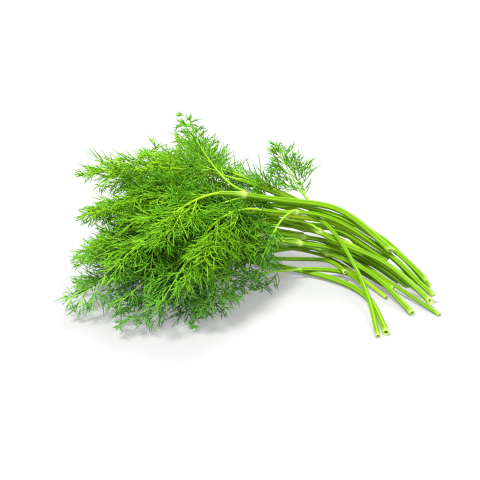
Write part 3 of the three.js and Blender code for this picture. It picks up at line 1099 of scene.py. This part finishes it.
@dataclass
class Frond:
    """One feathery leaf: a rachis, paired branches on it, pinnules on those, and threads on the pinnules."""

    name: str
    stem: Line
    tone: float
    slot: Slot
    seed: int
    width: float = 1.0
    samples: int = 48
    rachis_sides: int = 6
    rachis_radius: float = 0.95 * MM
    rachis_lane: float = 0.006  # width of one side of the rachis in the map
    first_seat: float = 0.07  # lowest place of a branch, as a share of the rachis
    last_seat: float = 0.985
    branch_gap: float = 12.5 * MM
    fewest_branches: int = 9
    branch_reach: tuple[float, float] = (0.6, 0.92)  # least and most of the outline that a branch fills
    branch_thick: tuple[float, float] = (0.42 * MM, 0.7 * MM)
    pinnule_gap: float = 6.6 * MM
    pinnule_lean: tuple[float, float] = (27.0, 45.0)
    pinnule_least: float = 6.5 * MM  # what even the last pinnule of a long branch is sure to have
    pinnule_most: float = 25.0 * MM
    thread_gap: float = 4.6 * MM
    thread_lean: tuple[float, float] = (19.0, 35.0)
    thread_limits: tuple[float, float] = (3.5 * MM, 14.0 * MM)
    # painted shade: how much the canopy's shade darkens the colour of each order of twig
    painted_shade_weights: tuple[float, float, float] = (0.42, 0.68, 0.72)  # how much shade darkens each order of twig
    skeleton: Skeleton | None = None
    branches: Twigs | None = None
    pinnules: Twigs | None = None
    threads: Twigs | None = None

    def grow(self) -> np.ndarray:
        """Grows the skeleton, branches, pinnules and threads.

        Returns:
            A point in the middle of every pinnule and thread, as a measure of where the leaf is dense.
        """
        random = np.random.default_rng(self.seed)
        self.skeleton = self._skeleton()
        self.branches = self._branches(self.skeleton, random)
        self.pinnules = self._pinnules(self.branches, random)
        self.threads = self._threads(self.pinnules, random)
        return np.vstack([self.pinnules.middle(), self.threads.middle()])

    def build(self, finish: bpy.types.Material, canopy: "Canopy") -> bpy.types.Object:
        """Makes the frond's mesh once it is grown.

        Args:
            finish: the leaf's material.
            canopy: all fronds together, whose shade is painted into each twig's tone as a darker colour.

        Returns:
            The piece.
        """
        parts = MeshParts()
        self._add_rachis(parts, self.skeleton)
        orders = (self.branches, self.pinnules, self.threads)
        for twigs, rings, shade in zip(orders, (6, 3, 3), self.painted_shade_weights):
            # painted shade: each twig's tone is made darker by how much leaf lies between it and the sky
            twigs.tone = twigs.tone - shade * canopy.shade(twigs.middle())
            parts.add_twigs(twigs, rings)
        made = parts.build(self.name + "_leaf")
        made.data.materials.append(finish)
        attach(made, "root")
        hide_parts(self.name)
        return made

    def _skeleton(self) -> Skeleton:
        """Reads the node's skeleton, from the end that is nearest to the stem.

        Returns:
            The skeleton.
        """
        solid = Welded.read(self.name)
        gap = np.linalg.norm(solid.points[:, None] - self.stem.points[None], axis=2).min(axis=1)
        return frond_skeleton(self.name, solid.points[np.argmin(gap)], self.samples)

    def _add_rachis(self, parts: MeshParts, skeleton: Skeleton) -> None:
        """Adds the rachis, a bar from inside the stem to a fine tip.

        A ring's vertex is the line's point plus (left cos a + above sin a) times a radius that falls as
        (1 - t)^1.1 along the rachis.

        Args:
            parts: where it goes.
            skeleton: the frond's skeleton.
        """
        line = skeleton.rachis
        hook = self.stem.points[np.argmin(np.linalg.norm(self.stem.points - line.points[0], axis=1))]
        points = np.vstack([hook, 0.5 * (hook + line.points[0]), line.points])
        rows, sides, lane = len(points), self.rachis_sides, self.rachis_lane
        _, left, above = frames_along(points)
        t = np.linspace(0.0, 1.0, rows)
        radius = self.rachis_radius * (0.28 + 0.9 * (1.0 - t) ** 1.1)
        radius[-1] = 0.02 * MM
        a = np.arange(sides) * (FULL_TURN / sides)
        ring = left[:, None] * np.cos(a)[:, None] + above[:, None] * np.sin(a)[:, None]
        points[:, 2] = np.maximum(points[:, 2], FLOOR_GAP + radius)
        body = (points[:, None] + ring * radius[:, None, None]).reshape(-1, 3)
        fan = np.arange(1, sides - 1)
        caps = np.column_stack([np.zeros_like(fan), fan + 1, fan])
        i, j = np.meshgrid(np.arange(rows - 1), np.arange(sides), indexing="ij")
        tone = 0.88 - 0.15 * t
        v0, v1 = tone[i] + j * lane, tone[i + 1] + j * lane
        uv = np.stack([t[i], v0, t[i], v0 + lane, t[i + 1], v1 + lane, t[i + 1], v1], -1).reshape(-1, 2)
        parts.add(body, loft_quads(rows, sides), caps, uv, np.full((len(caps) * 3, 2), 0.9))

    def _branches(self, skeleton: Skeleton, random: np.random.Generator) -> Twigs:
        """Grows branches in pairs along the rachis, whose directions and lengths follow the solid's own.

        The solid's branches on a side are seen from the rachis as parts along it, to its left and above it.
        Those parts, divided by the leaf's outline, are interpolated along the rachis and give each finer
        branch.

        Args:
            skeleton: the frond's skeleton.
            random: the frond's random numbers.

        Returns:
            The branches.
        """
        line, seats = skeleton.rachis, skeleton.seats
        length = line.length
        grids = line.frames()
        at_seat = [line.at(seats, g) for g in grids]
        local = np.column_stack([np.einsum("ij,ij->i", skeleton.branches, g) for g in at_seat])
        local = local / (self._outline(seats) * length)[:, None]
        first = max(self.first_seat, seats.min() - 0.12) if len(seats) else 0.1
        count = max(self.fewest_branches, int(round((1.0 - first) * length / self.branch_gap)))
        bases, reaches, tones = [], [], []
        for side in (1.0, -1.0):
            mine = local[:, 1] * side > 0
            seat = first + (1.0 - first) * ((np.arange(count) + 0.5 + 0.25 * side) / count)
            seat = np.clip(seat + random.uniform(-0.2, 0.2, count) / count, 0.0, self.last_seat)
            if mine.any():
                order = np.argsort(seats[mine])
                known = seats[mine][order]
                parts = [np.interp(seat, known, local[mine][order][:, c]) for c in range(3)]
            else:
                parts = [np.full(count, 0.25), np.full(count, 0.25 * side), np.zeros(count)]
            size = self._outline(seat) * length * random.uniform(*self.branch_reach, count)
            size = size * np.minimum(1.0, 0.42 + 1.7 * seat) * self.width
            parts[2] = parts[2] + random.uniform(-0.16, 0.16, count)
            frames = [line.at(seat, g) for g in grids]
            bases.append(line.at(seat, line.points))
            reaches.append(sum(g * (c * size)[:, None] for g, c in zip(frames, parts)))
            tones.append(np.full(count, self.tone) + random.uniform(-0.08, 0.08, count))
        reach = np.vstack(reaches)
        size = np.linalg.norm(reach, axis=1)
        forward = unit(line.points[-1] - line.points[0])
        bend = forward * (0.2 * size)[:, None] - UP * (0.1 * size)[:, None]
        thick = np.clip(size * 0.018, *self.branch_thick)
        tone = np.clip(np.concatenate(tones) + 0.28, 0.0, 0.95)
        return Twigs.curved(np.vstack(bases), reach, bend, thick, 0.34 * MM, tone)

    @staticmethod
    def _outline(seat: np.ndarray) -> np.ndarray:
        """The leaf's half width at a share of its length, as a share of that length."""
        return np.minimum(1.0, 0.72 + 1.1 * seat) * (1.0 - 0.93 * seat) ** 0.72

    def _pinnules(self, branches: Twigs, random: np.random.Generator) -> Twigs:
        """Grows pinnules along the branches, alternately on both sides, longest in a branch's lower half.

        A pinnule's length falls as (1 - share)^0.7 along its branch, and never goes to nothing.

        Args:
            branches: what they grow on.
            random: the frond's random numbers.

        Returns:
            The pinnules.
        """
        size = branches.length()
        counts = np.maximum(3, np.round(size / self.pinnule_gap).astype(int)) * 2
        owner, place = runs(counts)
        share = 0.08 + 0.9 * (place // 2 + 0.5 + 0.25 * (place % 2)) / (counts[owner] / 2)
        share = np.clip(share + random.uniform(-0.03, 0.03, len(share)), 0.04, 0.99)
        where, way = branches.at(owner, share)
        side = np.where(place % 2 == 0, 1.0, -1.0)
        roll = random.normal(0.0, 0.55, len(share))
        lean = random.uniform(*self.pinnule_lean, len(share))
        reach = leaning(way, side * np.cos(roll), np.sin(roll), lean)
        least = np.minimum(self.pinnule_least, 0.45 * size[owner] + 1.5 * MM)
        long = (0.5 * size[owner] * (1.0 - share) ** 0.7 + least) * random.uniform(0.75, 1.2, len(share))
        long = np.minimum(long, self.pinnule_most)[:, None]
        bend = way * (0.22 * long) + random.normal(0.0, 0.06, (len(share), 3)) * long
        tone = branches.tone[owner] - 0.27 + random.uniform(-0.09, 0.09, len(share))
        return Twigs.curved(where, reach * long, bend, 0.5 * MM, 0.38 * MM, tone)

    def _threads(self, pinnules: Twigs, random: np.random.Generator) -> Twigs:
        """Grows the finest threads, in forward-pointing pairs on the pinnules.

        Args:
            pinnules: what they grow on.
            random: the frond's random numbers.

        Returns:
            The threads.
        """
        size = pinnules.length()
        counts = np.clip(np.round(size / self.thread_gap).astype(int), 1, 5)
        owner, place = runs(counts)
        share = (place + 0.7) / (counts[owner] + 0.4)
        where, way = pinnules.at(owner, share)
        roll = random.uniform(0.0, FULL_TURN, len(share)) * 0.5 + place * math.pi
        lean = random.uniform(*self.thread_lean, len(share))
        reach = leaning(way, np.cos(roll), np.sin(roll), lean)
        long = np.clip(0.85 * size[owner] * (1.0 - 0.45 * share), *self.thread_limits)
        long = (long * random.uniform(0.8, 1.25, len(share)))[:, None]
        tone = pinnules.tone[owner] - 0.06 + random.uniform(-0.08, 0.08, len(share))
        return Twigs.curved(where, reach * long, way * (0.25 * long), 0.46 * MM, 0.35 * MM, tone)


@dataclass(frozen=True)
class Canopy:
    """How much leaf lies between a place and the open air, from counts of twigs in cubes; this shade is painted
    into the twigs' tones as darker colour.
    """

    low: np.ndarray
    counts: np.ndarray
    cell: float
    thinning: float = 0.025  # how much light one twig takes
    turns: int = 8  # directions round the sky
    rise: float = math.radians(35.0)  # their height over the floor
    overhead: int = 2  # how many times the light from straight above counts
    steps: tuple[float, float] = (1.2, 14.0)  # first and last cube that a ray passes

    @staticmethod
    def of(points: np.ndarray, cell: float = 6.0 * MM) -> "Canopy":
        """Counts the twigs in every cube.

        Args:
            points: a point on each twig.
            cell: side of a cube.

        Returns:
            The canopy, with its counts spread a little over the neighbouring cubes.
        """
        low = points.min(axis=0) - 3 * cell
        shape = np.ceil((points.max(axis=0) - low) / cell).astype(int) + 3
        counts = np.zeros(shape)
        np.add.at(counts, tuple(((points - low) / cell).astype(int).T), 1.0)
        for axis in range(3):
            counts = 0.5 * counts + 0.25 * (np.roll(counts, 1, axis) + np.roll(counts, -1, axis))
        return Canopy(low, counts, cell)

    def shade(self, places: np.ndarray) -> np.ndarray:
        """Works out how dark it is at some places.

        Light comes from above and from all round the sky, and thins as exp(-thinning * twigs passed).

        Args:
            places: where.

        Returns:
            The shade at each place: 0 in the open and 1 deep inside.
        """
        light = np.zeros(len(places))
        a = np.arange(self.turns) * (FULL_TURN / self.turns)
        flat, up = math.cos(self.rise), np.full(self.turns, math.sin(self.rise))
        sky = np.column_stack([flat * np.cos(a), flat * np.sin(a), up])
        ways = np.vstack([sky, np.tile(UP, (self.overhead, 1))])
        top = np.array(self.counts.shape) - 1
        for way in ways:
            passed = np.zeros(len(places))
            for step in np.arange(*self.steps):
                index = ((places + way * step * self.cell - self.low) / self.cell).astype(int)
                inside = ((index >= 0) & (index <= top)).all(axis=1)
                index = np.clip(index, 0, top)
                passed += np.where(inside, self.counts[tuple(index.T)], 0.0)
            light += np.exp(-self.thinning * passed)
        return 1.0 - light / len(ways)


# ---- The bunch ---------------------------------------------------------------------------------------------


@dataclass
class Bunch:
    """All stems and fronds."""

    line_samples: int = 60
    stems: dict[int, Line] = field(default_factory=dict)

    def build(self) -> list[bpy.types.Object]:
        """Builds every stem and then every frond.

        Returns:
            The pieces.
        """
        names = sorted(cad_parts)
        for name in (n for n in names if n.startswith("stem_")):
            self.stems[int(name[-2:])] = stem_line(name, self.line_samples)
        return self._build_stems(names) + self._build_fronds([n for n in names if "frond" in n])

    def _build_stems(self, names: list[str]) -> list[bpy.types.Object]:
        """Builds the stems.

        Args:
            names: every node's name.

        Returns:
            The stems' pieces.
        """
        levels = RibLevel().make()
        skin = {True: STEM_LIME.make(levels), False: STEM_GREEN.make(levels)}
        made = []
        for number, line in self.stems.items():
            lime = number % LIME_EVERY == 0
            made.append(Stem(number, lime, self._joints(number, line, names)).build(skin[lime]))
        return made

    def _build_fronds(self, names: list[str]) -> list[bpy.types.Object]:
        """Grows all the fronds, and then builds each with the shade that all of them throw painted into its
        tones.

        Args:
            names: the fronds' nodes.

        Returns:
            The fronds' pieces.
        """
        tint = ThreadTint().make()
        leaf = {Slot.FROND_TOP: LEAF_TOP.make(tint), Slot.FROND_SIDE: LEAF_SIDE.make(tint)}
        fronds = []
        for name in names:
            number = int(name[-2:])
            slot = Slot.FROND_TOP if name.startswith("top") else Slot.FROND_SIDE
            tone = float(np.random.default_rng(40 + number).uniform(*FROND_TONES))
            width = NARROW_FRONDS.get(name, 1.0)
            fronds.append(Frond(name, self.stems[number], tone, slot, seed=9000 + number, width=width))
        canopy = Canopy.of(np.vstack([frond.grow() for frond in fronds]))
        return [frond.build(leaf[frond.slot], canopy) for frond in fronds]

    @staticmethod
    def _joints(number: int, line: Line, names: list[str]) -> list[float]:
        """Finds where a stem carries a second frond's stalk.

        Args:
            number: the stem's number.
            line: its axis.
            names: every node's name.

        Returns:
            Shares of the stem's length, one or none.
        """
        side = f"side_frond_{number:02d}"
        if side not in names:
            return []
        solid = Welded.read(side).points
        apart = np.linalg.norm(solid[:, None] - line.points[None], axis=2)
        return [float(np.unravel_index(apart.argmin(), apart.shape)[1]) / (len(line.points) - 1)]


# ---- Studio ------------------------------------------------------------------------------------------------


@dataclass(frozen=True)
class Studio:
    """A white floor and wall, soft lights from above and a camera that looks a little down on the bunch."""

    target: tuple[float, float, float] = (-0.0119, -0.0087, 0.033)
    elevation: float = 28.0
    distance: float = 0.907
    lens: float = 80.0
    floor_half: float = 6.0
    floor_color: Color = (0.30, 0.30, 0.30)
    floor_glow: float = 0.28
    sky_strength: float = 0.55
    wall_reach: float = 3.0  # how far the white wall stands from the bunch
    wall_turns: int = 64
    wall_rings: int = 16
    lamp_distance: float = 1.5

    def build(self) -> None:
        """Makes the floor, the world, the wall, the lights and the camera."""
        self._floor()
        self._world()
        self._wall()
        self._light("key_light", (-0.35, -0.25, 1.0), 18.0, 5.0)
        self._light("fill_light", (0.9, -0.8, 0.9), 40.0, 1.2)
        self._light("back_light", (0.2, 0.8, 1.0), 25.0, 2.0)
        self._camera()

    def _floor(self) -> None:
        """Makes a wide flat floor with a matte white finish."""
        half = self.floor_half
        mesh = bpy.data.meshes.new("studio_floor")
        corners = [(-half, -half, 0), (half, -half, 0), (half, half, 0), (-half, half, 0)]
        mesh.from_pydata(corners, [], [(0, 1, 2, 3)])
        floor = link_object("studio_floor", mesh)
        shader = Shader("floor_white")
        shader.set(Base_Color=self.floor_color, Roughness=1.0, Specular_IOR_Level=0.0)
        shader.set(Emission_Color=(1.0, 1.0, 1.0), Emission_Strength=self.floor_glow)
        mesh.materials.append(shader.material)

    def _world(self) -> None:
        """Makes an even pale sky, shown without any colour grading."""
        scene = bpy.context.scene
        world = bpy.data.worlds.new("studio_world")
        world.use_nodes = True
        background = world.node_tree.nodes["Background"]
        background.inputs[0].default_value = (1.0, 1.0, 1.0, 1.0)
        background.inputs[1].default_value = self.sky_strength
        scene.world = world
        scene.view_settings.view_transform = "Standard"
        scene.cycles.filter_width = 1.2
        scene.cycles.denoising_prefilter = "NONE"  # keeps the threads apart

    def _wall(self) -> None:
        """Makes the white wall round the floor, which throws no light or shadow on the bunch.

        It is a half sphere: a point is reach * (cos rise cos turn, cos rise sin turn, sin rise), and the last
        ring is closed by triangles to the top.
        """
        turn = np.linspace(0.0, FULL_TURN, self.wall_turns + 1)[:-1]
        rise = np.linspace(-0.02, 0.25 * FULL_TURN, self.wall_rings + 1)[:-1]
        across, up = self.wall_reach * np.cos(rise)[:, None], self.wall_reach * np.sin(rise)[:, None]
        rings = np.stack(np.broadcast_arrays(across * np.cos(turn), across * np.sin(turn), up), axis=2)
        points = np.concatenate((rings.reshape(-1, 3), [[0.0, 0.0, self.wall_reach]]))
        quads = loft_quads(self.wall_rings, self.wall_turns)[:, [0, 3, 2, 1]]
        here = np.arange(self.wall_turns)
        after = (here + 1) % self.wall_turns
        last = (self.wall_rings - 1) * self.wall_turns
        caps = np.column_stack([last + after, last + here, np.full(self.wall_turns, len(points) - 1)])
        mesh = bpy.data.meshes.new("backdrop")
        mesh.from_pydata(points.tolist(), [], quads.tolist() + caps.tolist())
        shader = Shader("backdrop_white")
        shader.set(Base_Color=(0.0, 0.0, 0.0), Specular_IOR_Level=0.0)
        shader.set(Emission_Color=(1.0, 1.0, 1.0), Emission_Strength=1.0)
        mesh.materials.append(shader.material)
        wall = link_object("backdrop", mesh)
        wall.visible_diffuse = wall.visible_glossy = wall.visible_transmission = False
        wall.visible_shadow = wall.visible_volume_scatter = False

    def _light(self, name: str, side: tuple[float, float, float], spread: float, power: float) -> None:
        """Makes a large far soft light.

        Args:
            name: the light's name.
            side: the direction in which it stands, seen from the bunch.
            spread: how wide it looks from there, in degrees.
            power: its strength.
        """
        light = bpy.data.lights.new(name, "SUN")
        light.angle = math.radians(spread)
        light.energy = power
        lamp = link_object(name, light)
        lamp.location = Vector(side).normalized() * self.lamp_distance
        lamp.rotation_euler = (-Vector(side)).to_track_quat("-Z", "Y").to_euler()

    def _camera(self) -> None:
        """Makes the camera, which looks along +Y and down by its elevation."""
        tilt = math.radians(self.elevation)
        camera = link_object("camera", bpy.data.cameras.new("camera"))
        camera.data.lens = self.lens
        camera.data.sensor_width = 36.0
        camera.data.clip_end = 50.0
        back = Vector((0.0, -math.cos(tilt), math.sin(tilt)))
        camera.location = Vector(self.target) + back * self.distance
        camera.rotation_euler = (math.radians(90.0 - self.elevation), 0.0, 0.0)
        bpy.context.scene.camera = camera


def main() -> None:
    """Builds the bunch and its studio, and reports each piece."""
    logging.basicConfig(level=logging.INFO, format="%(name)s: %(message)s")
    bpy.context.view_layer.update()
    total = 0
    for piece in Bunch().build():
        piece.data.calc_loop_triangles()
        total += len(piece.data.loop_triangles)
        LOG.info("%s: %d triangles", piece.name, len(piece.data.loop_triangles))
    LOG.info("%d triangles in all", total)
    Studio().build()
    bpy.context.view_layer.update()


if __name__ == "__main__":
    main()
